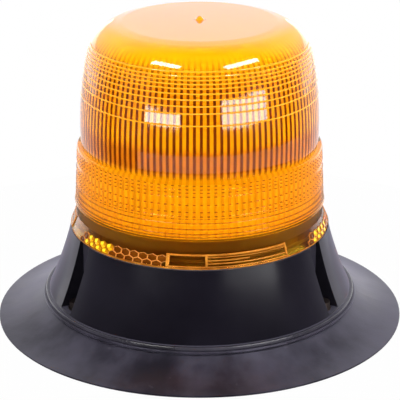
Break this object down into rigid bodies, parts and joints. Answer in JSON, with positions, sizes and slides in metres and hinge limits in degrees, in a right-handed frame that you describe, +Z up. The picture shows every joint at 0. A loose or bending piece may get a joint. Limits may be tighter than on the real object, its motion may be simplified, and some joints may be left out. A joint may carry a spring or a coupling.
{
  "type": "rotating beacon",
  "caption": "Amber rotating warning beacon: ribbed domed lens over a turning reflector and lamp, black flared base with a magnet and a wide rubber skirt.",
  "frame": {"origin": "on the axis, at the level that the magnet and the skirt stand on", "axes": "+Z up along the axis of the lens; -Y towards the front of the picture"},
  "size_m": [0.19, 0.19, 0.143],
  "materials": {
    "black_plastic": "moulded, satin gloss",
    "black_rubber": "moulded, matte",
    "amber_plastic": "clear amber, prismatic",
    "zinc_steel": "zinc plated",
    "ground_steel": "ground bright",
    "spring_steel": "oiled spring steel",
    "ferrite": "sintered, dull",
    "bronze": "sintered bronze",
    "acetal": "natural acetal",
    "carrier_plastic": "glass filled nylon",
    "bright_aluminium": "pressed and polished",
    "lamp_glass": "clear quartz",
    "tungsten": "drawn wire",
    "wound_core": "laminated, wound",
    "terminal_brass": "stamped",
    "block_nylon": "natural nylon",
    "lead_sleeve": "PVC sleeve"
  },
  "bodies": {
    "base": {"housing": "black_plastic", "rubber_boot": "black_rubber", "magnet_pad": "black_rubber", "cable_grommet": "black_rubber", "lens_seal": "black_rubber", "chassis_grommets": "black_rubber", "base_plate": "zinc_steel", "base_nuts": "zinc_steel", "housing_screws": "zinc_steel", "screw_washers": "zinc_steel", "magnet_bolt": "zinc_steel", "magnet_nut": "zinc_steel", "magnet_cup": "zinc_steel", "chassis_plate": "zinc_steel", "chassis_screws": "zinc_steel", "chassis_nuts": "zinc_steel", "thrust_washer": "zinc_steel", "motor_can": "zinc_steel", "motor_screws": "zinc_steel", "lamp_base": "zinc_steel", "spindle": "ground_steel", "retaining_clip": "spring_steel", "lamp_clip": "spring_steel", "ring_magnet": "ferrite", "motor_magnets": "ferrite", "lamp_holder": "acetal", "motor_end_cap": "carrier_plastic", "lamp_glass": "lamp_glass", "lamp_filament": "tungsten", "motor_tabs": "terminal_brass", "terminal_screws": "terminal_brass", "terminal_block": "block_nylon", "lamp_lead": "lead_sleeve", "motor_leads": "lead_sleeve"},
    "lens": {"lens": "amber_plastic"},
    "rotor": {"rotor_bush": "bronze", "reflector_carrier": "carrier_plastic", "gear_screws": "zinc_steel", "drive_gear": "acetal", "reflector": "bright_aluminium", "reflector_screws": "zinc_steel"},
    "motor_rotor": {"motor_shaft": "ground_steel", "motor_armature": "wound_core", "motor_pinion": "carrier_plastic"}
  },
  "joints": [
    {"name": "lens_twist", "type": "hinge", "parent": "base", "child": "lens", "pos_m": [0, 0, 0.048], "axis": [0, 0, 1], "range_deg": [0, 15]},
    {"name": "reflector_spin", "type": "hinge", "parent": "base", "child": "rotor", "pos_m": [0, 0, 0.055], "axis": [0, 0, 1], "continuous": true},
    {"name": "motor_spin", "type": "hinge", "parent": "base", "child": "motor_rotor", "pos_m": [0.024, 0, 0.053], "axis": [0, 0, 1], "continuous": true}
  ],
  "couplings": [
    {"joint": "motor_spin", "follows": "reflector_spin", "ratio": -3}
  ]
}
